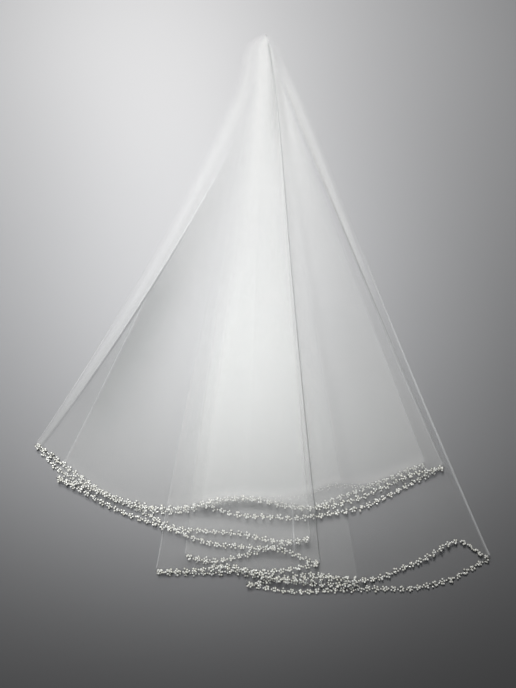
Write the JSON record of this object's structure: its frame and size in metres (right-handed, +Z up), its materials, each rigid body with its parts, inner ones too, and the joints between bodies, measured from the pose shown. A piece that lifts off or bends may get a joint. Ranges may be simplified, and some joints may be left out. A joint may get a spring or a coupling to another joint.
{
  "type": "folded bridal veil",
  "caption": "Sheer bridal veil with a pearl bead edge, folded fan-wise about its peak and laid flat on a surface.",
  "frame": {"origin": "on the surface that the veil lies on, under the middle of its outline", "axes": "+Y from the beaded edge towards the peak, +X to the right seen from above with the peak at the top, +Z up"},
  "size_m": [0.5758, 0.8336, 0.0244],
  "materials": {
    "tulle": "sheer soft net",
    "pearl": "pearl lustre"
  },
  "bodies": {
    "root": {"peak": "tulle", "tulle_01": "tulle", "tulle_02": "tulle", "tulle_03": "tulle", "tulle_04": "tulle", "tulle_05": "tulle", "tulle_06": "tulle", "tulle_07": "tulle", "tulle_08": "tulle", "tulle_09": "tulle", "tulle_10": "tulle", "tulle_11": "tulle", "tulle_12": "tulle", "beads_01": "pearl", "beads_02": "pearl", "beads_03": "pearl", "beads_04": "pearl", "beads_05": "pearl", "beads_06": "pearl", "beads_07": "pearl", "beads_08": "pearl", "beads_09": "pearl", "beads_10": "pearl", "beads_11": "pearl", "beads_12": "pearl"}
  },
  "joints": []
}
